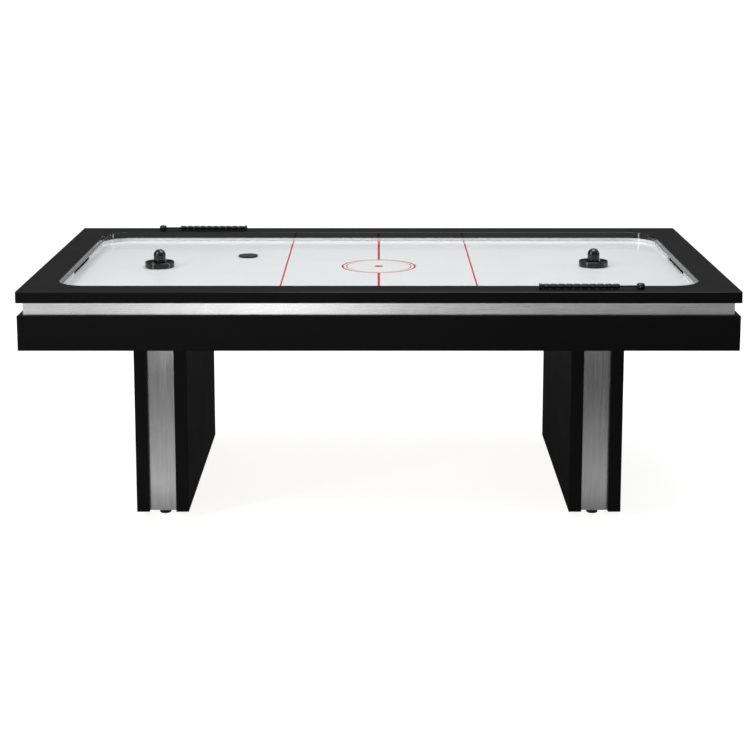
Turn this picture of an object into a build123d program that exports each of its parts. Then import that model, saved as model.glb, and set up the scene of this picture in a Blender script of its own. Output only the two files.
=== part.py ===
"""Air hockey table, 2.29 m long, as separate pieces in millimetres.

The origin is on the floor under the middle of the table. +X runs along the
length, the front is at -Y and +Z is up.
"""

from build123d import *

import math
import os

# Overall size
TABLE_LENGTH = 2286
TABLE_WIDTH = 1270
RAIL_TOP = 800
HALF_LENGTH = TABLE_LENGTH / 2
HALF_WIDTH = TABLE_WIDTH / 2

# Top rails
RAIL_WIDTH = 105
RAIL_FACE = 36
RAIL_LIP = 22
RAIL_BOTTOM = RAIL_TOP - RAIL_FACE
LIP_BOTTOM = RAIL_TOP - RAIL_LIP
OUTER_CORNER_RADIUS = 6
INNER_CORNER_RADIUS = 100
CORNER_SIZE = RAIL_WIDTH + INNER_CORNER_RADIUS
TOP_EDGE_RADIUS = 1.5

# Playfield and rebound strips
PLAYFIELD_TOP = RAIL_TOP - 34
BOARD = 18
PLAYFIELD_BOTTOM = PLAYFIELD_TOP - BOARD
PLAYFIELD_INSET = 40
STRIP_SETBACK = 5
STRIP_THICKNESS = 7
STRIP_BACK = RAIL_WIDTH - STRIP_SETBACK - STRIP_THICKNESS

# Frame: silver boards with black facings fixed to their lower part
BAND_RECESS = 20
FRAME_INNER = BAND_RECESS + BOARD
FACING_SETBACK = 3
APRON_BOTTOM = 610
APRON_HEIGHT = 112
APRON_TOP = APRON_BOTTOM + APRON_HEIGHT
EDGE_RADIUS = 1.5

# Goals, puck boxes and their outlets
GOAL_HALF = 150
GOAL_EDGE = RAIL_WIDTH - STRIP_SETBACK
BOX_WALL = 4
BOX_LENGTH = 132
BOX_HALF_WIDTH = 160
BOX_FLOOR = 647
BOX_FLOOR_INNER = 690
SPOUT_HALF = 110
SPOUT_TOP = 703
SPOUT_GAP = 0.5
BOX_FLAT = 45
BEZEL_THICKNESS = 3
BEZEL_MARGIN = 10
BEZEL_CORNER = 8
LIP_HEIGHT = 13

# Air chamber under the playfield
CHAMBER_HEIGHT = 40
JOINT_GAP = 0.2
CHAMBER_HALF = 953
CHAMBER_FLOOR = 6
CHAMBER_FLOOR_TOP = PLAYFIELD_BOTTOM - CHAMBER_HEIGHT
CHAMBER_FLOOR_BOTTOM = CHAMBER_FLOOR_TOP - CHAMBER_FLOOR
SPACER_GRID = (350, 290, 5, 3)
MOUNT_BOARD = 25
MOUNT_HALF_WIDTH = 110
MOUNT_TOP = APRON_BOTTOM + MOUNT_BOARD
BRACE_LEG = 60
BRACE_HEIGHT = 80
BRACE_GAP = 2

# Legs
LEG_X = 715
LEG_DEPTH = 914
LEG_BOTTOM = 22
SLAB = 42
SLAB_GAP = 88
PANEL_RECESS = 20
SLAB_CENTRE = (SLAB_GAP + SLAB) / 2
SLAB_SKIN = 8
CORE_WIDTH = 290
CORE_Y = 165
CORE_DEPTH = 550
LEVELLER_Y = LEG_DEPTH / 2 - 70
BOLT_Y = 350
BOLT_RADIUS = 4
BOLT_DEPTH = 50
BOLT_CLEARANCE = 0.5
BOLT_HEAD_HEIGHT = 5.5
WASHER_RADIUS = 11
WASHER_THICKNESS = 2
HEX_INNER_RADIUS = 6.5
BORE_GAP = 0.05

# Levelling feet and the nuts they screw into
PAD_RADIUS = 19
PAD_HEIGHT = 11
STEM_TOP = 58
LOCK_NUT = 6
LOCK_NUT_GAP = 0.3
NUT_RADIUS = BOLT_RADIUS + 1
NUT_FLANGE = 1.5
NUT_LENGTH = 14

# Blower
BLOWER_X = 175
DUCT_RADIUS = 62
DUCT_WALL = 4
HOUSING_BOTTOM = 642
PLATE_SIZE = 150
PLATE_CORNER = 12
PLATE_THICKNESS = 4
PLATE_HOLES = 128
PLATE_HOLE_RADIUS = 2.6
HUB_RADIUS = 31
HUB_HEIGHT = 15
MOTOR_HEIGHT = 28
MOTOR_CUP_WALL = 3
SHAFT_RADIUS = 3
SHAFT_DEPTH = 17
BLADE_COUNT = 7
BLADE_PITCH = 50
GUARD_STEP = 14
GUARD_WIRE = 3
GUARD_HEIGHT = 2.5
LEAD_RADIUS = 3.5

# Power inlet and switch
INLET_X = 420
INLET_Z = 666
INLET_HALF_X = 15
INLET_HALF_Z = 24
INLET_DEPTH = 42
FLANGE = (50, 64)
FLANGE_CORNER = 3
FLANGE_THICKNESS = 1.5
SOCKET_Z = INLET_Z - 13
SOCKET = (24, 16)
SOCKET_DEPTH = 18
PIN = (2, 4)
PIN_LENGTH = 12
PIN_SPREAD = 7
WELL = (21, 18)
WELL_DEPTH = 16
ROCKER_Y = 625.5
ROCKER_Z = INLET_Z + 10
ROCKER_TILT = 8
ROCKER_LENGTH = 20.2
PIVOT_RADIUS = 1.5
PIVOT_LENGTH = 23.2

# Loose playing pieces
AIR_GAP = 0.3
MALLET_RADIUS = 51
MALLET_HEIGHT = 63
MALLET_RIM = 20
MALLET_FLOOR = 9
KNOB_RADIUS = 21
FELT_RADIUS = 46
FELT_THICKNESS = 1.5
PUCK_RADIUS = 34.5
PUCK_THICKNESS = 6
LEFT_MALLET = (-767, -16)
RIGHT_MALLET = (754, 3)
PUCK_PLACE = (-473, 190)

# Score counters
SCORER_Y = HALF_WIDTH - RAIL_WIDTH / 2
SCORER_Z = RAIL_TOP + 9
BEAD_START = 517.4
BEAD_PITCH = 24.6
BEAD_COUNT = 10
BEAD_GAP = 0.4
BEAD_RADIUS = 8.4
BEAD_END_RADIUS = 6.8
BEAD_TAPER = 5
ROD_RADIUS = 2.5
POST_HEIGHT = 18.3
INNER_POST_THICKNESS = 10
INNER_POST_HALF_WIDTH = 9.3
END_POST_X = 830
END_POST_RADIUS = 13
END_POST_DOME = 6

STANDING = (Align.CENTER, Align.CENTER, Align.MIN)
HANGING = (Align.CENTER, Align.CENTER, Align.MAX)
SIDES = {"left": -1, "right": 1}
FACES = {"front": -1, "back": 1}


def keep(piece, name):
    """Label a finished piece and write it as its own node."""
    piece.part.label = name
    export_step(piece.part, f"parts/{name}.step")


def slab(x_range, y_range, z_range, mode=Mode.ADD):
    """Add or cut one rectangular block, given its range along each axis."""
    ranges = (x_range, y_range, z_range)
    with Locations(tuple(sum(r) / 2 for r in ranges)):
        Box(*(r[1] - r[0] for r in ranges), mode=mode)


def span(side, near, far):
    """Give the ordered range between two distances on one side of the middle."""
    return tuple(sorted((side * near, side * far)))


# --- Top: rails, corner blocks and rebound strips ---------------------------


def rail_profile(edge, side):
    """Draw the section of a rail whose outer face is at edge on one side."""
    section = [
        (0, RAIL_BOTTOM),
        (FRAME_INNER, RAIL_BOTTOM),
        (FRAME_INNER, PLAYFIELD_TOP),
        (STRIP_BACK, PLAYFIELD_TOP),
        (STRIP_BACK, LIP_BOTTOM),
        (RAIL_WIDTH, LIP_BOTTOM),
        (RAIL_WIDTH, RAIL_TOP),
        (0, RAIL_TOP),
    ]
    with BuildSketch(Plane.YZ if edge == HALF_WIDTH else Plane.XZ) as profile:
        with BuildLine():
            Polyline(*[(side * (edge - u), z) for u, z in section], close=True)
        make_face()
        fillet(profile.vertices().group_by(Axis.Y)[-1], radius=TOP_EDGE_RADIUS)
    return profile.sketch


def long_rail(name, side):
    """Make the straight rail along the front or the back."""
    with BuildPart() as rail:
        profile = rail_profile(HALF_WIDTH, side)
        extrude(profile, amount=HALF_LENGTH - CORNER_SIZE, both=True)
    keep(rail, f"{name}_rail")


def end_rail(name, side):
    """Make an end rail, cut away underneath where the goal passes through."""
    with BuildPart() as rail:
        profile = rail_profile(HALF_LENGTH, side)
        extrude(profile, amount=HALF_WIDTH - CORNER_SIZE, both=True)
        slot = span(side, HALF_LENGTH - FRAME_INNER, HALF_LENGTH - STRIP_BACK)
        goal = (-GOAL_HALF, GOAL_HALF)
        slab(slot, goal, (PLAYFIELD_TOP, LIP_BOTTOM), Mode.SUBTRACT)
    keep(rail, f"{name}_rail")


def corner_layer(x_side, y_side, radius, bottom, top):
    """Add one level of a corner block, cut by an arc about its inner corner."""
    centre = (x_side * (HALF_LENGTH - CORNER_SIZE), y_side * (HALF_WIDTH - CORNER_SIZE))
    middle = tuple(c + s * CORNER_SIZE / 2 for c, s in zip(centre, (x_side, y_side)))
    with BuildSketch(Plane.XY.offset(bottom)) as layer:
        with Locations(middle):
            Rectangle(CORNER_SIZE, CORNER_SIZE)
        with Locations(centre):
            if radius:
                Circle(radius, mode=Mode.SUBTRACT)
            else:
                side = 2 * (CORNER_SIZE - FRAME_INNER)
                Rectangle(side, side, mode=Mode.SUBTRACT)
    extrude(layer.sketch, amount=top - bottom)


def corner_blocks():
    """Make the corner blocks, each with a rounded corner and a large inner arc."""
    with BuildPart() as blocks:
        for x_side in SIDES.values():
            for y_side in FACES.values():
                corner_layer(x_side, y_side, None, RAIL_BOTTOM, PLAYFIELD_TOP)
                strip_radius = INNER_CORNER_RADIUS + STRIP_SETBACK + STRIP_THICKNESS
                corner_layer(x_side, y_side, strip_radius, PLAYFIELD_TOP, LIP_BOTTOM)
                corner_layer(x_side, y_side, INNER_CORNER_RADIUS, LIP_BOTTOM, RAIL_TOP)
        upright = blocks.edges().filter_by(Axis.Z)
        fillet(upright.filter_by(is_outer_corner), OUTER_CORNER_RADIUS)
        rim = blocks.edges().group_by(Axis.Z)[-1]
        fillet(rim.filter_by(lambda edge: not is_rail_joint(edge)), TOP_EDGE_RADIUS)
    keep(blocks, "rail_corner_blocks")


def is_outer_corner(edge):
    """Tell whether an upright edge stands at a corner of the table."""
    centre = edge.center()
    at_end = math.isclose(abs(centre.X), HALF_LENGTH, abs_tol=0.1)
    return at_end and math.isclose(abs(centre.Y), HALF_WIDTH, abs_tol=0.1)


def is_rail_joint(edge):
    """Tell whether a top edge of a corner block meets the end of a rail."""
    centre = edge.center()
    at_long = math.isclose(abs(centre.X), HALF_LENGTH - CORNER_SIZE, abs_tol=0.1)
    at_end = math.isclose(abs(centre.Y), HALF_WIDTH - CORNER_SIZE, abs_tol=0.1)
    return at_long or at_end


def rebound_strips():
    """Make the aluminium strips round the playfield, open at both goals."""
    strip = (RAIL_WIDTH - STRIP_SETBACK - STRIP_THICKNESS, RAIL_WIDTH - STRIP_SETBACK)
    level = (PLAYFIELD_TOP, LIP_BOTTOM)
    long_half = HALF_LENGTH - CORNER_SIZE
    with BuildPart() as long_bars:
        for face in FACES.values():
            across = span(face, HALF_WIDTH - strip[0], HALF_WIDTH - strip[1])
            slab((-long_half, long_half), across, level)
    keep(long_bars, "long_rebound_strips")
    with BuildPart() as end_bars:
        for side in SIDES.values():
            across = span(side, HALF_LENGTH - strip[0], HALF_LENGTH - strip[1])
            for face in FACES.values():
                slab(across, span(face, GOAL_HALF, HALF_WIDTH - CORNER_SIZE), level)
    keep(end_bars, "end_rebound_strips")
    with BuildPart() as curves:
        outer = INNER_CORNER_RADIUS + STRIP_SETBACK + STRIP_THICKNESS
        for x_side in SIDES.values():
            for y_side in FACES.values():
                x = x_side * long_half
                y = y_side * (HALF_WIDTH - CORNER_SIZE)
                with BuildSketch(Plane.XY.offset(PLAYFIELD_TOP)):
                    with Locations((x, y)):
                        Circle(outer)
                        Circle(outer - STRIP_THICKNESS, mode=Mode.SUBTRACT)
                    with Locations((x + x_side * outer / 2, y + y_side * outer / 2)):
                        Rectangle(outer, outer, mode=Mode.INTERSECT)
                extrude(amount=LIP_BOTTOM - PLAYFIELD_TOP)
    keep(curves, "corner_rebound_strips")


# --- Playfield and the air chamber under it ---------------------------------


def playfield():
    """Make the playing board, notched at both ends for the goals."""
    with BuildPart() as board:
        half_x = HALF_LENGTH - PLAYFIELD_INSET
        half_y = HALF_WIDTH - PLAYFIELD_INSET
        slab((-half_x, half_x), (-half_y, half_y), (PLAYFIELD_BOTTOM, PLAYFIELD_TOP))
        for side in SIDES.values():
            notch = span(side, HALF_LENGTH - GOAL_EDGE, half_x)
            level = (PLAYFIELD_BOTTOM, PLAYFIELD_TOP)
            slab(notch, (-GOAL_HALF, GOAL_HALF), level, Mode.SUBTRACT)
    keep(board, "playfield")


def air_chamber():
    """Make the bearers, the spacers and the floor of the air chamber."""
    level = (CHAMBER_FLOOR_TOP, PLAYFIELD_BOTTOM)
    half_y = HALF_WIDTH - PLAYFIELD_INSET
    end_face = HALF_LENGTH - FRAME_INNER
    with BuildPart() as bearers:
        for side in FACES.values():
            slab((-CHAMBER_HALF, CHAMBER_HALF), span(side, half_y - BOARD, half_y), level)
        for side in SIDES.values():
            across = span(side, CHAMBER_HALF - BOARD, CHAMBER_HALF)
            inside = half_y - BOARD - JOINT_GAP
            slab(across, (-inside, inside), level)
            for face in FACES.values():
                ledger = span(side, end_face - BOARD, end_face)
                slab(ledger, span(face, BOX_HALF_WIDTH + BEZEL_MARGIN, half_y), level)
    keep(bearers, "playfield_bearers")

    with BuildPart() as spacers:
        with BuildSketch(Plane.XY.offset(CHAMBER_FLOOR_TOP)):
            with GridLocations(*SPACER_GRID):
                Rectangle(CHAMBER_HEIGHT, CHAMBER_HEIGHT)
        extrude(amount=CHAMBER_HEIGHT)
    keep(spacers, "playfield_spacers")

    with BuildPart() as floor:
        level = (CHAMBER_FLOOR_BOTTOM, CHAMBER_FLOOR_TOP)
        slab((-CHAMBER_HALF, CHAMBER_HALF), (-half_y, half_y), level)
        with Locations((BLOWER_X, 0, CHAMBER_FLOOR_TOP)):
            Hole(DUCT_RADIUS)
    keep(floor, "air_chamber_floor")


# --- Frame: silver boards, black facings and the boards inside --------------


def long_boards(name, side):
    """Make the silver board and the black facing of the front or the back.

    The back facing is kept as four touching blocks round its inlet opening, so
    that each block is convex.
    """
    inner = HALF_WIDTH - FRAME_INNER
    outer = HALF_WIDTH - BAND_RECESS
    face = HALF_WIDTH - FACING_SETBACK
    band_end = HALF_LENGTH - BAND_RECESS
    facing_end = HALF_LENGTH - FACING_SETBACK
    with BuildPart() as board:
        slab((-band_end, band_end), span(side, inner, outer), (APRON_BOTTOM, RAIL_BOTTOM))
        if side > 0:
            inlet_cutout()
    keep(board, f"{name}_frame_board")
    with BuildPart() as facing:
        across = span(side, outer, face)
        slab((-facing_end, facing_end), across, (APRON_BOTTOM, APRON_TOP))
        seen = facing.faces().filter_by(Axis.Y).sort_by(Axis.Y)[-1 if side > 0 else 0]
        fillet(seen.edges(), EDGE_RADIUS)
        if side > 0:
            inlet_cutout()
            for x in (INLET_X - INLET_HALF_X, INLET_X + INLET_HALF_X):
                split(bisect_by=Plane.YZ.offset(x), keep=Keep.BOTH)
    keep(facing, f"{name}_apron")


def inlet_cutout():
    """Cut the opening for the power inlet through a board at the back."""
    across = (INLET_X - INLET_HALF_X, INLET_X + INLET_HALF_X)
    level = (INLET_Z - INLET_HALF_Z, INLET_Z + INLET_HALF_Z)
    slab(across, (HALF_WIDTH - FRAME_INNER, HALF_WIDTH), level, Mode.SUBTRACT)


def end_boards(name, side):
    """Make the silver board and the black facing of one end, with its outlet."""
    inner = HALF_LENGTH - FRAME_INNER
    outer = HALF_LENGTH - BAND_RECESS
    face = HALF_LENGTH - FACING_SETBACK
    board_half = HALF_WIDTH - FRAME_INNER
    facing_half = HALF_WIDTH - BAND_RECESS
    with BuildPart() as board:
        level = (APRON_BOTTOM, RAIL_BOTTOM)
        slab(span(side, inner, outer), (-board_half, board_half), level)
        outlet_cutout(side)
    keep(board, f"{name}_frame_board")
    with BuildPart() as facing:
        level = (APRON_BOTTOM, APRON_TOP)
        slab(span(side, outer, face), (-facing_half, facing_half), level)
        seen = facing.faces().filter_by(Axis.X).sort_by(Axis.X)[-1 if side > 0 else 0]
        fillet(seen.edges().filter_by(Axis.Y), EDGE_RADIUS)
        outlet_cutout(side)
    keep(facing, f"{name}_apron")


def outlet_cutout(side):
    """Cut the opening for the puck box's spout through the boards of one end."""
    across = span(side, HALF_LENGTH - FRAME_INNER, HALF_LENGTH)
    half = SPOUT_HALF + SPOUT_GAP
    level = (BOX_FLOOR - SPOUT_GAP, SPOUT_TOP + SPOUT_GAP)
    slab(across, (-half, half), level, Mode.SUBTRACT)


def inner_frame():
    """Make the corner braces, the cross beams and the boards the legs bolt to."""
    inner_x = HALF_LENGTH - FRAME_INNER
    inner_y = HALF_WIDTH - FRAME_INNER
    leg = BRACE_LEG
    with BuildPart() as braces:
        with BuildSketch(Plane.XY.offset(APRON_BOTTOM + BRACE_GAP)):
            for x_side in SIDES.values():
                for y_side in FACES.values():
                    x, y = x_side * inner_x, y_side * inner_y
                    with BuildLine():
                        Polyline((x, y), (x - x_side * leg, y), (x, y - y_side * leg), close=True)
                    make_face()
        extrude(amount=BRACE_HEIGHT)
    keep(braces, "corner_braces")

    with BuildPart() as beams:
        for x in (-LEG_X, 0, LEG_X):
            across = (x - BOARD / 2, x + BOARD / 2)
            slab(across, (-inner_y, inner_y), (MOUNT_TOP, CHAMBER_FLOOR_BOTTOM))
    keep(beams, "cross_beams")

    for name, side in SIDES.items():
        with BuildPart() as board:
            across = span(side, LEG_X - MOUNT_HALF_WIDTH, LEG_X + MOUNT_HALF_WIDTH)
            slab(across, (-inner_y, inner_y), (APRON_BOTTOM, MOUNT_TOP))
            with Locations((side * LEG_X, 0, MOUNT_TOP)):
                with GridLocations(2 * SLAB_CENTRE, 2 * BOLT_Y, 2, 2):
                    Hole(BOLT_RADIUS + BOLT_CLEARANCE)
        keep(board, f"{name}_leg_mount_board")


def puck_box(name, side):
    """Make the box that catches the puck, with a spout through the end boards."""
    inner = HALF_LENGTH - FRAME_INNER
    back = inner - BOX_LENGTH
    slope_end = inner - BOX_FLAT
    face = HALF_LENGTH - FACING_SETBACK
    sill = BOX_FLOOR + BOX_WALL
    outline = [
        (back, PLAYFIELD_BOTTOM),
        (inner, PLAYFIELD_BOTTOM),
        (inner, BOX_FLOOR),
        (slope_end, BOX_FLOOR),
        (back, BOX_FLOOR_INNER),
    ]
    hollow = [
        (back + BOX_WALL, PLAYFIELD_BOTTOM),
        (inner - BOX_WALL, PLAYFIELD_BOTTOM),
        (inner - BOX_WALL, sill),
        (slope_end + 1, sill),
        (back + BOX_WALL, BOX_FLOOR_INNER + 2),
    ]
    with BuildPart() as box:
        for points, half, mode in (
            (outline, BOX_HALF_WIDTH, Mode.ADD),
            (hollow, BOX_HALF_WIDTH - BOX_WALL, Mode.SUBTRACT),
        ):
            with BuildSketch(Plane.XZ):
                with BuildLine():
                    Polyline(*[(side * x, z) for x, z in points], close=True)
                make_face()
            extrude(amount=half, both=True, mode=mode)
        slab(span(side, inner, face), (-SPOUT_HALF, SPOUT_HALF), (BOX_FLOOR, SPOUT_TOP))
        with BuildSketch(Plane.YZ.offset(side * face)) as bezel:
            with Locations((0, (BOX_FLOOR + SPOUT_TOP) / 2)):
                width = 2 * (SPOUT_HALF + BEZEL_MARGIN)
                height = SPOUT_TOP - BOX_FLOOR + 2 * BEZEL_MARGIN
                RectangleRounded(width, height, BEZEL_CORNER)
        extrude(amount=side * BEZEL_THICKNESS)
        mouth_half = SPOUT_HALF - BOX_WALL
        for reach, bottom in ((face - BEZEL_THICKNESS, sill), (HALF_LENGTH, sill + LIP_HEIGHT)):
            across = span(side, inner - BOX_WALL, reach)
            level = (bottom, SPOUT_TOP - BOX_WALL)
            slab(across, (-mouth_half, mouth_half), level, Mode.SUBTRACT)
    keep(box, f"{name}_puck_box")


# --- Blower -----------------------------------------------------------------


def blower():
    """Make the axial blower that hangs under the air chamber's floor."""
    ring_outer = DUCT_RADIUS + DUCT_WALL
    plate_bottom = CHAMBER_FLOOR_BOTTOM - PLATE_THICKNESS
    motor_bottom = HOUSING_BOTTOM + 2
    motor_top = HOUSING_BOTTOM + MOTOR_HEIGHT
    cup_top = motor_top - 4
    motor_radius = HUB_RADIUS - MOTOR_CUP_WALL
    centre = (BLOWER_X, 0)
    with BuildPart() as housing:
        with BuildSketch(Plane.XY.offset(plate_bottom)):
            with Locations(centre):
                RectangleRounded(PLATE_SIZE, PLATE_SIZE, PLATE_CORNER)
                with GridLocations(PLATE_HOLES, PLATE_HOLES, 2, 2):
                    Circle(PLATE_HOLE_RADIUS, mode=Mode.SUBTRACT)
                Circle(DUCT_RADIUS, mode=Mode.SUBTRACT)
        extrude(amount=PLATE_THICKNESS)
        with BuildSketch(Plane.XY.offset(HOUSING_BOTTOM)):
            with Locations(centre):
                Circle(ring_outer)
                Circle(DUCT_RADIUS, mode=Mode.SUBTRACT)
        extrude(amount=plate_bottom - HOUSING_BOTTOM)
        with BuildSketch(Plane.XY.offset(HOUSING_BOTTOM)):
            with Locations(centre):
                with PolarLocations((HUB_RADIUS + DUCT_RADIUS) / 2, 3):
                    Rectangle(DUCT_RADIUS - HUB_RADIUS + 4, 9)
        extrude(amount=6)
        with BuildSketch(Plane.XY.offset(HOUSING_BOTTOM)):
            with Locations(centre):
                Circle(HUB_RADIUS)
        extrude(amount=cup_top - HOUSING_BOTTOM)
        with Locations((*centre, cup_top)):
            Hole(motor_radius, depth=cup_top - motor_bottom)
    keep(housing, "blower_housing")

    with BuildPart() as motor:
        with BuildSketch(Plane.XY.offset(motor_bottom)):
            with Locations(centre):
                Circle(motor_radius)
        extrude(amount=motor_top - motor_bottom)
        fillet(motor.edges().group_by(Axis.Z)[-1], 2)
        with Locations((*centre, motor_top)):
            Hole(SHAFT_RADIUS + BORE_GAP, depth=SHAFT_DEPTH + 3)
    keep(motor, "blower_motor")
    impeller(motor_top)
    blower_guard(ring_outer)


def impeller(motor_top):
    """Make the impeller: a shaft into the motor, a hub and its pitched blades."""
    centre = (BLOWER_X, 0)
    hub_bottom = motor_top + 3
    blade_planes = []
    for index in range(BLADE_COUNT):
        turn = math.radians(index * 360 / BLADE_COUNT)
        out = Vector(math.cos(turn), math.sin(turn), 0)
        root = Vector(BLOWER_X, 0, hub_bottom + HUB_HEIGHT / 2) + out * (HUB_RADIUS - 3)
        blade_planes.append(Plane(origin=root, x_dir=(0, 0, 1), z_dir=out))
    with BuildPart() as wheel:
        with BuildSketch(Plane.XY.offset(hub_bottom)):
            with Locations(centre):
                Circle(HUB_RADIUS)
        extrude(amount=HUB_HEIGHT)
        fillet(wheel.edges().group_by(Axis.Z)[-1], 3)
        with BuildSketch(Plane.XY.offset(motor_top - SHAFT_DEPTH)):
            with Locations(centre):
                Circle(SHAFT_RADIUS)
        extrude(amount=hub_bottom + 2 - motor_top + SHAFT_DEPTH)
        with BuildSketch(*blade_planes):
            Rectangle(2, 18, rotation=BLADE_PITCH)
        extrude(amount=DUCT_RADIUS - HUB_RADIUS)
    keep(wheel, "blower_impeller")


def blower_guard(outer):
    """Make the guard under the blower: four rings and two crossed bars."""
    with BuildPart() as guard:
        with BuildSketch(Plane.XY.offset(HOUSING_BOTTOM - GUARD_HEIGHT)):
            with Locations((BLOWER_X, 0)):
                for step in range(4):
                    radius = outer - step * GUARD_STEP
                    Circle(radius)
                    Circle(radius - GUARD_WIRE, mode=Mode.SUBTRACT)
                for turn in (0, 90):
                    Rectangle(2 * outer - 4, 4, rotation=turn)
        extrude(amount=GUARD_HEIGHT)
    keep(guard, "blower_guard")


# --- Power inlet, switch and the lead inside the table ----------------------


def power_inlet():
    """Make the inlet with its socket and the well that holds the rocker."""
    apron_face = HALF_WIDTH - FACING_SETBACK
    flange_face = apron_face + FLANGE_THICKNESS
    hollows = ((SOCKET_Z, SOCKET, SOCKET_DEPTH), (ROCKER_Z, WELL, WELL_DEPTH))
    with BuildPart() as inlet:
        with BuildSketch(Plane.XZ.offset(-apron_face)):
            with Locations((INLET_X, INLET_Z)):
                RectangleRounded(*FLANGE, FLANGE_CORNER)
        extrude(amount=-FLANGE_THICKNESS)
        with BuildSketch(Plane.XZ.offset(-apron_face)):
            with Locations((INLET_X, INLET_Z)):
                Rectangle(2 * INLET_HALF_X - 0.6, 2 * INLET_HALF_Z - 0.6)
        extrude(amount=INLET_DEPTH)
        for height, size, depth in hollows:
            with BuildSketch(Plane.XZ.offset(-flange_face)):
                with Locations((INLET_X, height)):
                    Rectangle(*size)
            extrude(amount=depth, mode=Mode.SUBTRACT)
        with BuildSketch(Plane.XZ.offset(SOCKET_DEPTH - flange_face)):
            with Locations((INLET_X, SOCKET_Z + 2)):
                Rectangle(*PIN)
            for x in (INLET_X - PIN_SPREAD, INLET_X + PIN_SPREAD):
                with Locations((x, SOCKET_Z - 2)):
                    Rectangle(*PIN)
        extrude(amount=-PIN_LENGTH)
        with BuildSketch(Plane.YZ.offset(INLET_X)):
            with Locations((ROCKER_Y, ROCKER_Z)):
                Circle(PIVOT_RADIUS + BORE_GAP)
        extrude(amount=PIVOT_LENGTH / 2 + 0.4, both=True, mode=Mode.SUBTRACT)
    keep(inlet, "power_inlet")

    tilt = math.radians(-ROCKER_TILT)
    outline = [(-5, -6.5), (8, -7.4), (6.6, 0), (8, 7.4), (-5, 6.5)]
    with BuildPart() as rocker:
        with BuildSketch(Plane.YZ.offset(INLET_X)):
            with BuildLine():
                Polyline(*[tilted(point, tilt) for point in outline], close=True)
            make_face()
        extrude(amount=ROCKER_LENGTH / 2, both=True)
        with BuildSketch(Plane.YZ.offset(INLET_X)):
            with Locations((ROCKER_Y, ROCKER_Z)):
                Circle(PIVOT_RADIUS)
        extrude(amount=PIVOT_LENGTH / 2, both=True)
    keep(rocker, "power_switch_rocker")


def tilted(point, turn):
    """Turn a point of the rocker's outline about its pivot."""
    y, z = point
    turned_y = y * math.cos(turn) - z * math.sin(turn)
    turned_z = y * math.sin(turn) + z * math.cos(turn)
    return (ROCKER_Y + turned_y, ROCKER_Z + turned_z)


def blower_lead():
    """Make the lead from the inlet to the blower, under the chamber's floor."""
    inlet_back = HALF_WIDTH - FACING_SETBACK - INLET_DEPTH
    under_floor = CHAMBER_FLOOR_BOTTOM - 6
    route = [
        (INLET_X, inlet_back, INLET_Z),
        (INLET_X, inlet_back - 70, INLET_Z),
        (INLET_X, inlet_back - 150, under_floor),
        (INLET_X, 60, under_floor),
        (INLET_X - 60, 0, under_floor - 4),
        (BLOWER_X + DUCT_RADIUS + DUCT_WALL, 0, under_floor - 12),
    ]
    with BuildPart() as lead:
        with BuildLine():
            path = FilletPolyline(*route, radius=30)
        with BuildSketch(Plane(origin=route[0], z_dir=(0, -1, 0))):
            Circle(LEAD_RADIUS)
        sweep(path=path)
    keep(lead, "blower_lead")


# --- Legs and levellers -----------------------------------------------------


def leg(name, side):
    """Make one pedestal: two hollow-core slabs, two end panels, a bottom board."""
    half_depth = LEG_DEPTH / 2
    panel_face = half_depth - PANEL_RECESS
    level = (LEG_BOTTOM, APRON_BOTTOM)
    for place, shift in (("outer", side), ("inner", -side)):
        with BuildPart() as leaf:
            centre = side * LEG_X + shift * SLAB_CENTRE
            slab((centre - SLAB / 2, centre + SLAB / 2), (-half_depth, half_depth), level)
            ends = leaf.edges().filter_by(Axis.Z)
            foot = leaf.faces().sort_by(Axis.Z)[0].edges()
            fillet([*ends, *foot], EDGE_RADIUS)
            thick = (centre - SLAB / 2 + SLAB_SKIN, centre + SLAB / 2 - SLAB_SKIN)
            for core_y in (-CORE_Y, CORE_Y):
                wide = (core_y - CORE_WIDTH / 2, core_y + CORE_WIDTH / 2)
                deep = (APRON_BOTTOM - CORE_DEPTH, APRON_BOTTOM)
                slab(thick, wide, deep, Mode.SUBTRACT)
            with Locations((centre, BOLT_Y, APRON_BOTTOM), (centre, -BOLT_Y, APRON_BOTTOM)):
                Hole(BOLT_RADIUS, depth=BOLT_DEPTH)
        keep(leaf, f"{name}_leg_{place}_slab")
    gap = (side * LEG_X - SLAB_GAP / 2, side * LEG_X + SLAB_GAP / 2)
    for face_name, face in FACES.items():
        with BuildPart() as panel:
            slab(gap, span(face, panel_face - BOARD, panel_face), level)
        keep(panel, f"{name}_leg_{face_name}_panel")
    with BuildPart() as bottom:
        inside = panel_face - BOARD
        slab(gap, (-inside, inside), (LEG_BOTTOM, LEG_BOTTOM + BOARD))
        top = LEG_BOTTOM + BOARD
        with Locations((side * LEG_X, LEVELLER_Y, top), (side * LEG_X, -LEVELLER_Y, top)):
            Hole(NUT_RADIUS + 2 * BORE_GAP)
    keep(bottom, f"{name}_leg_bottom_board")


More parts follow.
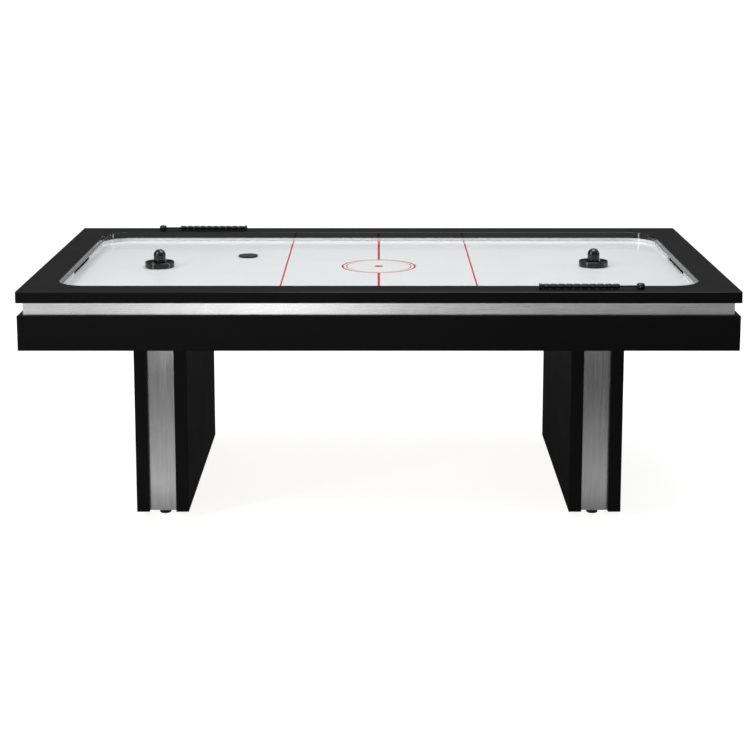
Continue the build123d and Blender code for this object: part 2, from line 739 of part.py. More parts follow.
def leg_hardware():
    """Make the bolts that hold the legs and the nuts the levellers screw into."""
    with BuildPart() as bolts:
        for side in SIDES.values():
            with Locations((side * LEG_X, 0, MOUNT_TOP)):
                with GridLocations(2 * SLAB_CENTRE, 2 * BOLT_Y, 2, 2):
                    Cylinder(WASHER_RADIUS, WASHER_THICKNESS, align=STANDING)
                    Cylinder(BOLT_RADIUS, MOUNT_BOARD + BOLT_DEPTH - 5, align=HANGING)
            with BuildSketch(Plane.XY.offset(MOUNT_TOP + WASHER_THICKNESS)):
                with Locations((side * LEG_X, 0)):
                    with GridLocations(2 * SLAB_CENTRE, 2 * BOLT_Y, 2, 2):
                        RegularPolygon(HEX_INNER_RADIUS, 6, major_radius=False)
            extrude(amount=BOLT_HEAD_HEIGHT)
    keep(bolts, "leg_bolts")

    plate_top = LEG_BOTTOM + BOARD
    with BuildPart() as nuts:
        with Locations((0, 0, plate_top)):
            with GridLocations(2 * LEG_X, 2 * LEVELLER_Y, 2, 2):
                Cylinder(WASHER_RADIUS, NUT_FLANGE, align=STANDING)
                Cylinder(NUT_RADIUS, NUT_LENGTH, align=HANGING)
                Cylinder(BOLT_RADIUS + BORE_GAP, STEM_TOP, mode=Mode.SUBTRACT)
    keep(nuts, "leveller_nuts")


def leveller(name, x, y):
    """Make one levelling foot: a round pad, a lock nut and a threaded stem."""
    with BuildPart() as foot:
        with BuildSketch(Plane.XZ):
            with BuildLine():
                Polyline(
                    (0, 0),
                    (PAD_RADIUS - 2, 0),
                    (PAD_RADIUS, 2),
                    (PAD_RADIUS, 6),
                    (PAD_RADIUS - 4, 9),
                    (7, PAD_HEIGHT),
                    (BOLT_RADIUS, PAD_HEIGHT),
                    (BOLT_RADIUS, STEM_TOP),
                    (0, STEM_TOP),
                    close=True,
                )
            make_face()
        revolve(axis=Axis.Z)
        with BuildSketch(Plane.XY.offset(LEG_BOTTOM - LOCK_NUT_GAP - LOCK_NUT)):
            RegularPolygon(HEX_INNER_RADIUS, 6, major_radius=False)
        extrude(amount=LOCK_NUT)
    foot.part.locate(Location((x, y, 0)))
    keep(foot, name)


# --- Score counters ---------------------------------------------------------


def scorer(name, side):
    """Make one score counter: two posts, a rod and ten sliding beads."""
    x_side = -side
    y = side * SCORER_Y
    half = INNER_POST_HALF_WIDTH
    with BuildPart() as posts:
        with BuildSketch(Plane.XY.offset(RAIL_TOP)):
            with Locations((x_side * END_POST_X, y)):
                Circle(END_POST_RADIUS)
        extrude(amount=POST_HEIGHT)
        fillet(posts.edges().group_by(Axis.Z)[-1], END_POST_DOME)
        with BuildSketch(Plane.YZ.offset(x_side * (BEAD_START - BEAD_GAP))):
            with Locations((y, SCORER_Z)):
                Circle(half)
            with Locations((y, (SCORER_Z + RAIL_TOP) / 2)):
                Rectangle(2 * half, SCORER_Z - RAIL_TOP)
            with Locations((y, RAIL_TOP - half)):
                Rectangle(2 * half, 2 * half, mode=Mode.SUBTRACT)
        extrude(amount=-x_side * INNER_POST_THICKNESS)
        rod_ends(x_side, y, Mode.SUBTRACT)
    keep(posts, f"{name}_scorer_posts")

    with BuildPart() as rod:
        rod_ends(x_side, y, Mode.ADD)
    keep(rod, f"{name}_scorer_rod")

    with BuildPart() as beads:
        with BuildSketch(Plane.XZ.offset(-y)):
            for index in range(BEAD_COUNT):
                start = BEAD_START + index * BEAD_PITCH
                section = bead_section(start, start + BEAD_PITCH - BEAD_GAP)
                with BuildLine():
                    Polyline(*[(x_side * x, SCORER_Z + r) for x, r in section], close=True)
                make_face()
        revolve(axis=Axis((0, y, SCORER_Z), (1, 0, 0)))
    keep(beads, f"{name}_scorer_beads")


def rod_ends(x_side, y, mode):
    """Add or cut the rod, which ends inside both posts."""
    ends = (BEAD_START - BEAD_TAPER, END_POST_X)
    with Locations(Location((x_side * sum(ends) / 2, y, SCORER_Z), (0, 90, 0))):
        Cylinder(ROD_RADIUS, ends[1] - ends[0], mode=mode)


def bead_section(start, end):
    """List the corners of half a bead's section, a barrel with tapered ends."""
    bore = ROD_RADIUS + BORE_GAP
    return [
        (start, bore),
        (start, BEAD_END_RADIUS),
        (start + BEAD_TAPER, BEAD_RADIUS),
        (end - BEAD_TAPER, BEAD_RADIUS),
        (end, BEAD_END_RADIUS),
        (end, bore),
    ]


# --- Mallets and puck -------------------------------------------------------


def mallet(name, x, y):
    """Make a mallet with a raised rim and a domed knob, and its felt disc."""
    base = PLAYFIELD_TOP + AIR_GAP
    rim = base + MALLET_RIM
    floor = base + MALLET_FLOOR
    knob = KNOB_RADIUS
    top = base + MALLET_HEIGHT
    with BuildPart() as body:
        with BuildSketch(Plane.XZ):
            with BuildLine():
                Polyline(
                    (0, base + FELT_THICKNESS),
                    (FELT_RADIUS, base + FELT_THICKNESS),
                    (FELT_RADIUS, base),
                    (MALLET_RADIUS - 1, base),
                    (MALLET_RADIUS, base + 2),
                    (MALLET_RADIUS, rim - 2),
                )
                ThreePointArc(
                    (MALLET_RADIUS, rim - 2), (MALLET_RADIUS - 0.6, rim - 0.6), (MALLET_RADIUS - 2, rim)
                )
                Line((MALLET_RADIUS - 2, rim), (45.5, rim))
                ThreePointArc((45.5, rim), (44.2, rim - 0.8), (43.6, rim - 2.2))
                Line((43.6, rim - 2.2), (42, floor + 2.5))
                ThreePointArc((42, floor + 2.5), (41, floor + 0.7), (39.2, floor))
                Line((39.2, floor), (knob + 4, floor))
                ThreePointArc((knob + 4, floor), (knob + 0.6, floor + 1.4), (knob - 1, floor + 5))
                Line((knob - 1, floor + 5), (knob, top - knob))
                RadiusArc((knob, top - knob), (0, top), -knob)
                Line((0, top), (0, base + FELT_THICKNESS))
            make_face()
        revolve(axis=Axis.Z)
    body.part.locate(Location((x, y, 0)))
    keep(body, f"{name}_mallet")
    with BuildPart() as felt:
        with BuildSketch(Plane.XY.offset(base)):
            with Locations((x, y)):
                Circle(FELT_RADIUS)
        extrude(amount=FELT_THICKNESS)
    keep(felt, f"{name}_mallet_felt")


def puck(x, y):
    """Make the puck, a thin disc with eased edges."""
    with BuildPart() as disc:
        with BuildSketch(Plane.XY.offset(PLAYFIELD_TOP + AIR_GAP)):
            with Locations((x, y)):
                Circle(PUCK_RADIUS)
        extrude(amount=PUCK_THICKNESS)
        fillet(disc.edges().filter_by(GeomType.CIRCLE), 1)
    keep(disc, "puck")


def main():
    """Build every piece of the table."""
    os.makedirs("parts", exist_ok=True)
    for name, side in FACES.items():
        long_rail(name, side)
        long_boards(name, side)
        scorer(name, side)
    for name, side in SIDES.items():
        end_rail(name, side)
        end_boards(name, side)
        puck_box(name, side)
        leg(name, side)
        for face_name, face in FACES.items():
            leveller(f"leveller_{face_name}_{name}", side * LEG_X, face * LEVELLER_Y)
    corner_blocks()
    rebound_strips()
    playfield()
    air_chamber()
    inner_frame()
    blower()
    power_inlet()
    blower_lead()
    leg_hardware()
    mallet("left", *LEFT_MALLET)
    mallet("right", *RIGHT_MALLET)
    puck(*PUCK_PLACE)


main()
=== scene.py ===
"""Looks of the air hockey table: materials, detailed pieces, light and camera."""

import math

import bmesh
import bpy
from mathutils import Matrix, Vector

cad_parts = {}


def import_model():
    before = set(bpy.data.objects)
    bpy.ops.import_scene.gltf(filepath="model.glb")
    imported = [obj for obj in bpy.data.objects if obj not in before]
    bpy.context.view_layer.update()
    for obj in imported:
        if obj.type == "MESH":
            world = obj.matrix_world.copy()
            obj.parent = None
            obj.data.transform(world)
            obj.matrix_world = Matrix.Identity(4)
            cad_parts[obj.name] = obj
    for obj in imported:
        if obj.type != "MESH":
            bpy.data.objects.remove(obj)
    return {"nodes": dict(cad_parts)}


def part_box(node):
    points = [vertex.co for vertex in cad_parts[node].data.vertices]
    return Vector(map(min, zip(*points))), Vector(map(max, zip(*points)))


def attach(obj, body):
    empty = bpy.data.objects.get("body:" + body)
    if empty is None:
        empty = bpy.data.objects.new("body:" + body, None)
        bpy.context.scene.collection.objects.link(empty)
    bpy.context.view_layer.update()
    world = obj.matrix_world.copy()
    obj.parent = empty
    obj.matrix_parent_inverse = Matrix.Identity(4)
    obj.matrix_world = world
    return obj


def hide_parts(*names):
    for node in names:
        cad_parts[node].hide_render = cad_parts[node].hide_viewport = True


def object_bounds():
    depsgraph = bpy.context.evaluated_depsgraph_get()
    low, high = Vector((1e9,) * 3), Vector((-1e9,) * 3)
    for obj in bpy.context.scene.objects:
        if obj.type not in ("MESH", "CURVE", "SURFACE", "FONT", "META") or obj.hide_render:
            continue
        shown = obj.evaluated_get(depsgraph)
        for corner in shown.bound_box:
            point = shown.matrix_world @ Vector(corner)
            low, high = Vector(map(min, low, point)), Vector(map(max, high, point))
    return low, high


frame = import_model()
CAD_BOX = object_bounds()
NODES = frame["nodes"]
SIDES = {"left": -1, "right": 1}
FACES = {"front": -1, "back": 1}

# Places that several pieces share, all read from the frame
HALF = CAD_BOX[1].copy()
RAIL_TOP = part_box("front_rail")[1].z
RAIL_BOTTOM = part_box("front_rail")[0].z
RAIL_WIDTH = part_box("front_rail")[1].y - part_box("front_rail")[0].y
CORNER_SIZE = HALF.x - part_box("front_rail")[1].x
PLAY_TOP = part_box("playfield")[1].z
LIP_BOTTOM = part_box("long_rebound_strips")[1].z

# Distances, in metres like all the others, below which two places are the same
WELD = 1e-7
CLOSE = 1e-5


# --- Node graphs ------------------------------------------------------------


class Graph:
    """A material whose shader is built node by node."""

    def __init__(self, name):
        self.material = bpy.data.materials.new(name)
        self.material.use_nodes = True
        self.tree = self.material.node_tree
        self.tree.nodes.clear()
        self.shader = self.add("ShaderNodeBsdfPrincipled")
        output = self.add("ShaderNodeOutputMaterial")
        self.tree.links.new(self.shader.outputs[0], output.inputs["Surface"])
        self.place = self.add("ShaderNodeTexCoord").outputs["Object"]

    def add(self, kind, **settings):
        """Add a node and give it its settings."""
        node = self.tree.nodes.new(kind)
        for key, value in settings.items():
            setattr(node, key, value)
        return node

    def feed(self, socket, value):
        """Link an output to a socket, or set the socket to a plain value."""
        if isinstance(value, bpy.types.NodeSocket):
            self.tree.links.new(value, socket)
        else:
            socket.default_value = value

    def set(self, **values):
        """Set or link the shader's sockets, with _ for a space in the name."""
        for key, value in values.items():
            self.feed(self.shader.inputs[key.replace("_", " ")], value)

    def math(self, operation, first, *others):
        """Fold values or outputs together, in order, with one operation."""
        result = first
        for other in others or (0.0,):
            node = self.add("ShaderNodeMath", operation=operation)
            self.feed(node.inputs[0], result)
            self.feed(node.inputs[1], other)
            result = node.outputs[0]
        return result

    def average(self, first, second, share):
        """Add a share of the first value to the rest of the second."""
        return self.math(
            "ADD",
            self.math("MULTIPLY", first, share),
            self.math("MULTIPLY", second, 1 - share),
        )

    def plan(self):
        """Give the object's X and Y coordinates in metres."""
        axes = self.add("ShaderNodeSeparateXYZ")
        self.feed(axes.inputs[0], self.place)
        return axes.outputs["X"], axes.outputs["Y"]

    def scaled(self, scale):
        """Give the object's coordinates in metres, scaled along each axis."""
        node = self.add("ShaderNodeMapping")
        self.feed(node.inputs["Vector"], self.place)
        node.inputs["Scale"].default_value = scale
        return node.outputs[0]

    def noise(self, scale, detail=2.0, rough=0.5, stretch=(1, 1, 1)):
        """Give a noise around 0.5; stretch scales it apart along each axis."""
        node = self.add("ShaderNodeTexNoise")
        self.feed(node.inputs["Vector"], self.scaled(stretch))
        node.inputs["Scale"].default_value = scale
        node.inputs["Detail"].default_value = detail
        node.inputs["Roughness"].default_value = rough
        return node.outputs["Fac"]

    def remap(self, value, low, high, start=0.3, end=0.7):
        """Turn start to end, by default a noise's usual range, into low to high."""
        node = self.add("ShaderNodeMapRange")
        self.feed(node.inputs["Value"], value)
        node.inputs["From Min"].default_value = start
        node.inputs["From Max"].default_value = end
        node.inputs["To Min"].default_value = low
        node.inputs["To Max"].default_value = high
        return node.outputs["Result"]

    def mix(self, factor, first, second):
        """Mix two colours, each an output or three plain numbers."""
        node = self.add("ShaderNodeMix", data_type="RGBA")
        self.feed(node.inputs["Factor"], factor)
        for name, value in (("A", first), ("B", second)):
            linked = isinstance(value, bpy.types.NodeSocket)
            self.feed(node.inputs[name], value if linked else (*value, 1))
        return node.outputs["Result"]

    def vary(self, noise, first, second):
        """Mix two colours by a noise, over its usual range."""
        return self.mix(self.remap(noise, 0, 1), first, second)

    def bump(self, height, strength, distance):
        """Give the normal of a surface with that relief, distance in metres."""
        node = self.add("ShaderNodeBump")
        self.feed(node.inputs["Height"], height)
        node.inputs["Strength"].default_value = strength
        node.inputs["Distance"].default_value = distance
        return node.outputs["Normal"]


def grey(level):
    """Give a neutral colour."""
    return (level, level, level)


# --- Materials --------------------------------------------------------------

# The print on the playfield, in metres: a ring or dot is its radius and width
RED = (0.46, 0.032, 0.058)
CENTRE_LINE_WIDTH = 0.008
SIDE_LINE_PLACE = 0.325
SIDE_LINE_WIDTH = 0.0055
OUTER_RING = (0.127, 0.007)
INNER_RING = (0.113, 0.0035)
CENTRE_DOT = (0, 0.032)
CENTRE_LINE_STOP = (0.130, 0.131)
PRINT_FADE = 0.0001


def black_laminate():
    """Satin black laminate, on the rails, facings and leg slabs."""
    g = Graph("black_laminate")
    pores = g.noise(900, 3, 0.6)
    clouds = g.noise(9, 3)
    g.set(
        Base_Color=g.vary(pores, (0.0024, 0.0024, 0.0025), (0.0042, 0.0042, 0.0044)),
        Roughness=g.remap(clouds, 0.40, 0.44),
        Specular_IOR_Level=0.055,
        Normal=g.bump(pores, 0.2, 0.0001),
    )
    return g.material


def black_edging():
    """Polished black edging, on the rails' inner faces and rounded top edges."""
    g = Graph("black_edging")
    waves = g.noise(40, 2, 0.5)
    g.set(
        Base_Color=g.vary(waves, grey(0.003), grey(0.005)),
        Roughness=g.remap(waves, 0.06, 0.10),
        Specular_IOR_Level=0.5,
        Normal=g.bump(waves, 0.05, 0.0001),
    )
    return g.material


def painted_edge():
    """Cut edge of the playing board, painted a dull black."""
    g = Graph("painted_edge")
    fibres = g.noise(900, 4, 0.7)
    g.set(
        Base_Color=g.vary(fibres, grey(0.004), grey(0.010)),
        Roughness=g.remap(fibres, 0.6, 0.8),
        Specular_IOR_Level=0.2,
        Normal=g.bump(fibres, 0.3, 0.0002),
    )
    return g.material


def silver_laminate(name, stretch, dark=0.50, light=0.68, rough=0.24):
    """Brushed silver foil, with its brush lines along the axis of low stretch."""
    g = Graph(name)
    lines = g.noise(1, 4, 0.65, stretch)
    clouds = g.noise(14, 3)
    tone = g.average(lines, clouds, 0.75)
    g.set(
        Base_Color=g.mix(g.remap(tone, 0, 1, 0.35, 0.65), grey(dark), grey(light)),
        Metallic=0.92,
        Roughness=g.remap(lines, rough, rough + 0.10),
        Specular_IOR_Level=0.4,
        Normal=g.bump(lines, 0.12, 0.00015),
    )
    return g.material


def playfield_laminate():
    """Glossy white laminate with the red lines, rings and dot printed on it."""
    g = Graph("playfield_laminate")
    x, y = g.plan()
    squares = g.math("ADD", g.math("MULTIPLY", x, x), g.math("MULTIPLY", y, y))
    reach = g.math("SQRT", squares)
    off_centre = g.math("ABSOLUTE", x)

    def band(distance, middle, width):
        """One inside a printed line of that width, fading at its edges."""
        gap = g.math("ABSOLUTE", g.math("SUBTRACT", distance, middle))
        return g.remap(gap, 1, 0, width / 2 - PRINT_FADE, width / 2 + PRINT_FADE)

    outside_ring = g.remap(reach, 0, 1, *CENTRE_LINE_STOP)
    centre_line = g.math("MULTIPLY", band(off_centre, 0, CENTRE_LINE_WIDTH), outside_ring)
    side_lines = band(off_centre, SIDE_LINE_PLACE, SIDE_LINE_WIDTH)
    rings = [band(reach, *ring) for ring in (OUTER_RING, INNER_RING, CENTRE_DOT)]
    printed = g.math("MAXIMUM", centre_line, side_lines, *rings)
    haze = g.noise(6, 4, 0.6)
    wipe = g.noise(1, 3, 0.6, (14, 60, 1))
    white = g.vary(haze, (0.70, 0.714, 0.72), (0.725, 0.74, 0.745))
    g.set(
        Base_Color=g.mix(printed, white, RED),
        Roughness=g.remap(wipe, 0.07, 0.13),
        Specular_IOR_Level=0.5,
        Normal=g.bump(g.noise(55, 2), 0.04, 0.0002),
    )
    return g.material


def brushed_aluminium():
    """Pale rebound strip, with fine lines along its length."""
    g = Graph("aluminium_strip")
    lines = g.noise(1, 3, 0.6, (60, 60, 2500))
    g.set(
        Base_Color=g.vary(lines, (0.84, 0.85, 0.86), (0.92, 0.925, 0.93)),
        Metallic=0.15,
        Roughness=g.remap(lines, 0.18, 0.28),
        Normal=g.bump(lines, 0.1, 0.0001),
    )
    return g.material


def moulded_plastic(name, colour, rough, specular, texture):
    """Moulded plastic: texture is the depth of its fine surface grain, metres."""
    g = Graph(name)
    grain = g.noise(1400, 2, 0.6)
    flow = g.noise(30, 2)
    darker = tuple(0.7 * c for c in colour)
    g.set(
        Base_Color=g.vary(flow, darker, colour),
        Roughness=g.remap(grain, rough * 0.85, rough * 1.2),
        Specular_IOR_Level=specular,
        Normal=g.bump(grain, 0.3, texture),
    )
    return g.material


def raw_board(name, light, dark, stretch):
    """Bare board: pressed fibres, or wood grain when stretch is uneven."""
    g = Graph(name)
    fibres = g.noise(1, 5, 0.7, stretch)
    clouds = g.noise(5, 3)
    tone = g.average(fibres, clouds, 0.6)
    g.set(
        Base_Color=g.vary(tone, dark, light),
        Roughness=g.remap(fibres, 0.7, 0.9),
        Specular_IOR_Level=0.25,
        Normal=g.bump(fibres, 0.3, 0.0003),
    )
    return g.material


def metal(name, colour, rough, stretch=(300, 300, 300)):
    """Bare or plated steel, with fine marks in its tone and gloss."""
    g = Graph(name)
    marks = g.noise(1, 3, 0.6, stretch)
    darker = tuple(0.75 * c for c in colour)
    g.set(
        Base_Color=g.vary(marks, darker, colour),
        Metallic=1.0,
        Roughness=g.remap(marks, rough * 0.8, rough * 1.3),
        Normal=g.bump(marks, 0.1, 0.0001),
    )
    return g.material


def felt():
    """Black felt, under the mallets."""
    g = Graph("felt")
    fibres = g.noise(2200, 3, 0.7)
    g.set(
        Base_Color=g.mix(fibres, (0.012, 0.012, 0.013), (0.05, 0.05, 0.052)),
        Roughness=0.95,
        Sheen_Weight=0.4,
        Normal=g.bump(fibres, 0.8, 0.0004),
    )
    return g.material


BLACK = black_laminate()
EDGING = black_edging()
PAINTED = painted_edge()
SILVER_X = silver_laminate("silver_laminate_x", (5, 900, 900))
SILVER_Y = silver_laminate("silver_laminate_y", (900, 5, 900))
# The legs' copy of the silver laminate has darker tones than the band's: painted shade, for
# the legs that stand in the shade under the table.
SHADED_SILVER_Z = silver_laminate("shaded_silver_laminate_z", (900, 900, 5), 0.40, 0.56, 0.14)
PLAYFIELD = playfield_laminate()
ALUMINIUM = brushed_aluminium()
GLOSS = moulded_plastic("black_gloss_plastic", (0.005, 0.005, 0.0055), 0.10, 0.45, 0.00002)
SATIN = moulded_plastic("black_satin_plastic", (0.012, 0.012, 0.013), 0.38, 0.4, 0.00008)
MATTE = moulded_plastic("black_matte_plastic", (0.022, 0.022, 0.024), 0.55, 0.35, 0.0002)
MDF = raw_board("bare_board", (0.50, 0.37, 0.23), (0.36, 0.25, 0.15), (420, 420, 420))
PINE = raw_board("pine", (0.66, 0.48, 0.28), (0.48, 0.31, 0.16), (260, 9, 260))
ZINC = metal("zinc_plated_steel", (0.60, 0.61, 0.63), 0.32)
DARK_ROD = metal("black_steel", (0.05, 0.05, 0.052), 0.35)
ENAMEL = moulded_plastic("motor_enamel", (0.09, 0.09, 0.10), 0.4, 0.5, 0.0001)
SHEATH = moulded_plastic("lead_sheath", grey(0.018), 0.6, 0.3, 0.0002)
FELT = felt()


def dress(material, *names):
    """Give CAD nodes their finished material."""
    for name in names:
        mesh = NODES[name].data
        mesh.materials.clear()
        mesh.materials.append(material)


dress(BLACK, "front_apron", "back_apron", "left_apron", "right_apron")
dress(SILVER_X, "front_frame_board", "back_frame_board")
dress(SILVER_Y, "left_frame_board", "right_frame_board")
for side_name in SIDES:
    dress(BLACK, f"{side_name}_leg_outer_slab", f"{side_name}_leg_inner_slab")
    dress(SHADED_SILVER_Z, f"{side_name}_leg_front_panel", f"{side_name}_leg_back_panel")
    dress(MDF, f"{side_name}_leg_bottom_board", f"{side_name}_leg_mount_board")
    dress(MATTE, f"{side_name}_puck_box")
    dress(FELT, f"{side_name}_mallet_felt")
dress(MDF, "playfield_bearers", "playfield_spacers", "air_chamber_floor")
dress(PINE, "cross_beams", "corner_braces")
dress(MATTE, "blower_housing", "blower_impeller", "power_inlet")
dress(ZINC, "blower_guard", "leg_bolts", "leveller_nuts")
dress(ENAMEL, "blower_motor")
dress(SHEATH, "blower_lead")
dress(SATIN, "power_switch_rocker")
dress(DARK_ROD, "front_scorer_rod", "back_scorer_rod")


# --- Mesh tools -------------------------------------------------------------


def finish_mesh(name, bm, material, body, node, sharp=35, second=None):
    """Turn a bmesh into a piece with its materials and body, hiding the CAD node it stands
    in for.
    """
    bmesh.ops.remove_doubles(bm, verts=bm.verts, dist=WELD)
    bmesh.ops.recalc_face_normals(bm, faces=bm.faces)
    mesh = bpy.data.meshes.new(name)
    bm.to_mesh(mesh)
    bm.free()
    for polygon in mesh.polygons:
        polygon.use_smooth = True
    mesh.set_sharp_from_angle(angle=math.radians(sharp))
    mesh.materials.append(material)
    if second:
        mesh.materials.append(second)
    piece = bpy.data.objects.new(name, mesh)
    bpy.context.scene.collection.objects.link(piece)
    weighted = piece.modifiers.new("weighted", "WEIGHTED_NORMAL")
    weighted.keep_sharp = True
    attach(piece, body)
    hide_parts(node)


def add_sections(bm, sections, second=()):
    """Skin a list of closed loops of points and cap both ends.

    Strips of faces whose place round the loop is in second get the second
    material.
    """
    rings = [[bm.verts.new(point) for point in section] for section in sections]
    count = len(rings[0])
    for near, far in zip(rings, rings[1:]):
        for i in range(count):
            j = (i + 1) % count
            face = bm.faces.new((near[i], near[j], far[j], far[i]))
            face.material_index = int(i in second)
    bm.faces.new(rings[0])
    bm.faces.new(list(reversed(rings[-1])))


def add_lathe(bm, profile, centre, axis="Z", segments=96):
    """Revolve (radius, height) points about a line through centre."""
    rings = []
    for step in range(segments):
        turn = 2 * math.pi * step / segments
        ring = []
        for radius, height in profile:
            across = (radius * math.cos(turn), radius * math.sin(turn))
            offset = (height, *across) if axis == "X" else (*across, height)
            ring.append(bm.verts.new(Vector(centre) + Vector(offset)))
        rings.append(ring)
    for near, far in zip(rings, rings[1:] + rings[:1]):
        for k in range(len(profile) - 1):
            bm.faces.new((near[k], far[k], far[k + 1], near[k + 1]))
    bmesh.ops.remove_doubles(bm, verts=bm.verts, dist=WELD)


def arc(centre, radius, start, end, steps):
    """List points on an arc in a plane, angles in degrees."""
    points = []
    for i in range(steps + 1):
        turn = math.radians(start + (end - start) * i / steps)
        x = centre[0] + radius * math.cos(turn)
        y = centre[1] + radius * math.sin(turn)
        points.append((x, y))
    return points


def middle_of(low, high):
    """Give the middle of a box seen from above."""
    return (low.x + high.x) / 2, (low.y + high.y) / 2


# --- Top rails, corner blocks and rebound strips ----------------------------

TOP_ROUND = 0.0015
FOOT_ROUND = 0.0008
OUTER_RADIUS = 0.006
GOAL_HALF = 0.150

# Distances in from the table's outer face
FRAME_INNER = 0.038
STRIP_BACK = 0.093
STRIP_FACE = 0.100
STRIP_EASE = 0.0008

# A corner block's outer outline runs straight, round its bend and straight
# again; this share of the steps goes to each of the straights
STRAIGHT_SHARE = 0.3
BLOCK_STEPS = 40
CORNER_STRIP_STEPS = 32


def rail_section(underside=PLAY_TOP):
    """List the rail's section as (distance in from the outer face, height).

    The underside is the height of the part that lies on the playing board.
    """
    low, top = RAIL_BOTTOM + FOOT_ROUND, RAIL_TOP - TOP_ROUND
    return [
        *arc((FOOT_ROUND, low), FOOT_ROUND, 180, 270, 3),
        (FRAME_INNER, RAIL_BOTTOM),
        (FRAME_INNER, underside),
        (STRIP_BACK, underside),
        (STRIP_BACK, LIP_BOTTOM),
        *arc((RAIL_WIDTH - FOOT_ROUND, LIP_BOTTOM + FOOT_ROUND), FOOT_ROUND, -90, 0, 3),
        *arc((RAIL_WIDTH - TOP_ROUND, top), TOP_ROUND, 0, 90, 5),
        *arc((TOP_ROUND, top), TOP_ROUND, 90, 180, 5),
    ]


def polished_strips():
    """List the places round the rail section on its lip and rounded top edges."""
    section = rail_section()
    strips = []
    for i, (start, end) in enumerate(zip(section, section[1:] + section[:1])):
        inset, height = (start[0] + end[0]) / 2, (start[1] + end[1]) / 2
        below_top = height < RAIL_TOP - CLOSE
        on_lip = inset > STRIP_BACK + 0.001
        on_round = height > RAIL_TOP - TOP_ROUND
        if below_top and (on_lip or on_round):
            strips.append(i)
    return strips


def finish_rail(name, bm, node):
    """Finish a rail or corner block, laminate with a polished edging."""
    finish_mesh(name, bm, BLACK, "table", node, 35, EDGING)


def long_rail(name, side):
    """Build the rail along the front or the back."""
    bm = bmesh.new()
    section = rail_section()
    reach = HALF.x - CORNER_SIZE
    rings = [[(x, side * (HALF.y - u), z) for u, z in section] for x in (-reach, reach)]
    add_sections(bm, rings, polished_strips())
    finish_rail(f"{name}_rail_board", bm, f"{name}_rail")


def end_rail(name, side):
    """Build the rail across an end, cut away over the goal."""
    bm = bmesh.new()
    reach = HALF.y - CORNER_SIZE
    plain, cut = rail_section(), rail_section(LIP_BOTTOM)
    stations = [
        (-reach, plain),
        (-GOAL_HALF, plain),
        (-GOAL_HALF, cut),
        (GOAL_HALF, cut),
        (GOAL_HALF, plain),
        (reach, plain),
    ]
    rings = [[(side * (HALF.x - u), y, z) for u, z in section] for y, section in stations]
    add_sections(bm, rings, polished_strips())
    finish_rail(f"{name}_rail_board", bm, f"{name}_rail")


def outer_spot(share, inset):
    """Give the point at a share of the way round the corner's outer outline."""
    bend = max(OUTER_RADIUS, inset)
    straight = CORNER_SIZE - bend
    if share < STRAIGHT_SHARE:
        start = Vector((HALF.x - inset, HALF.y - CORNER_SIZE))
        return start + Vector((0, straight * share / STRAIGHT_SHARE))
    if share > 1 - STRAIGHT_SHARE:
        end = Vector((HALF.x - CORNER_SIZE, HALF.y - inset))
        return end + Vector((straight * (1 - share) / STRAIGHT_SHARE, 0))
    turn = math.radians(90 * (share - STRAIGHT_SHARE) / (1 - 2 * STRAIGHT_SHARE))
    centre = Vector((HALF.x - bend, HALF.y - bend))
    return centre + (bend - inset) * Vector((math.cos(turn), math.sin(turn)))


def corner_sections():
    """Carry the rail section round the corner that lies on the right at the back."""
    section = rail_section()
    inner_centre = Vector((HALF.x - CORNER_SIZE, HALF.y - CORNER_SIZE))
    sections = []
    for i in range(BLOCK_STEPS + 1):
        turn = math.radians(90 * i / BLOCK_STEPS)
        inward = Vector((math.cos(turn), math.sin(turn)))
        ring = []
        for u, z in section:
            if u > FRAME_INNER + CLOSE:
                spot = inner_centre + inward * (CORNER_SIZE - u)
            else:
                spot = outer_spot(i / BLOCK_STEPS, u)
            ring.append((spot.x, spot.y, z))
        sections.append(ring)
    return sections


def corner_blocks():
    """Build the four corner blocks, mirrored from one."""
    sections = corner_sections()
    for x_name, x_side in SIDES.items():
        for y_name, y_side in FACES.items():
            bm = bmesh.new()
            rings = [[(x_side * x, y_side * y, z) for x, y, z in ring] for ring in sections]
            add_sections(bm, rings, polished_strips())
            finish_rail(f"{y_name}_{x_name}_corner_block", bm, "rail_corner_blocks")


def strip_section():
    """List the rebound strip's section, with its two inner edges eased."""
    low, high = PLAY_TOP, LIP_BOTTOM
    return [
        (STRIP_BACK, high),
        (STRIP_BACK, low),
        (STRIP_FACE - STRIP_EASE, low),
        (STRIP_FACE, low + STRIP_EASE),
        (STRIP_FACE, high - STRIP_EASE),
        (STRIP_FACE - STRIP_EASE, high),
    ]


def finish_strip(name, rings, node):
    """Skin and finish one rebound strip."""
    bm = bmesh.new()
    add_sections(bm, rings)
    finish_mesh(name, bm, ALUMINIUM, "table", node)


def corner_rings(section, x_side, y_side):
    """Carry a rebound strip's section round one corner of the playfield."""
    centre = (HALF.x - CORNER_SIZE, HALF.y - CORNER_SIZE)
    paths = []
    for u, z in section:
        spots = arc(centre, CORNER_SIZE - u, 0, 90, CORNER_STRIP_STEPS)
        paths.append([(x_side * x, y_side * y, z) for x, y in spots])
    return list(zip(*paths))


def rebound_strips():
    """Build the strips along the sides, beside the goals and round the corners."""
    section = strip_section()
    reach_x, reach_y = HALF.x - CORNER_SIZE, HALF.y - CORNER_SIZE
    for y_name, y_side in FACES.items():
        ends = (-reach_x, reach_x)
        rings = [[(x, y_side * (HALF.y - u), z) for u, z in section] for x in ends]
        finish_strip(f"{y_name}_long_strip", rings, "long_rebound_strips")
        for x_name, x_side in SIDES.items():
            ends = (y_side * GOAL_HALF, y_side * reach_y)
            rings = [[(x_side * (HALF.x - u), y, z) for u, z in section] for y in ends]
            finish_strip(f"{y_name}_{x_name}_end_strip", rings, "end_rebound_strips")
            rings = corner_rings(section, x_side, y_side)
            finish_strip(f"{y_name}_{x_name}_corner_strip", rings, "corner_rebound_strips")


# --- Playfield with its air holes -------------------------------------------

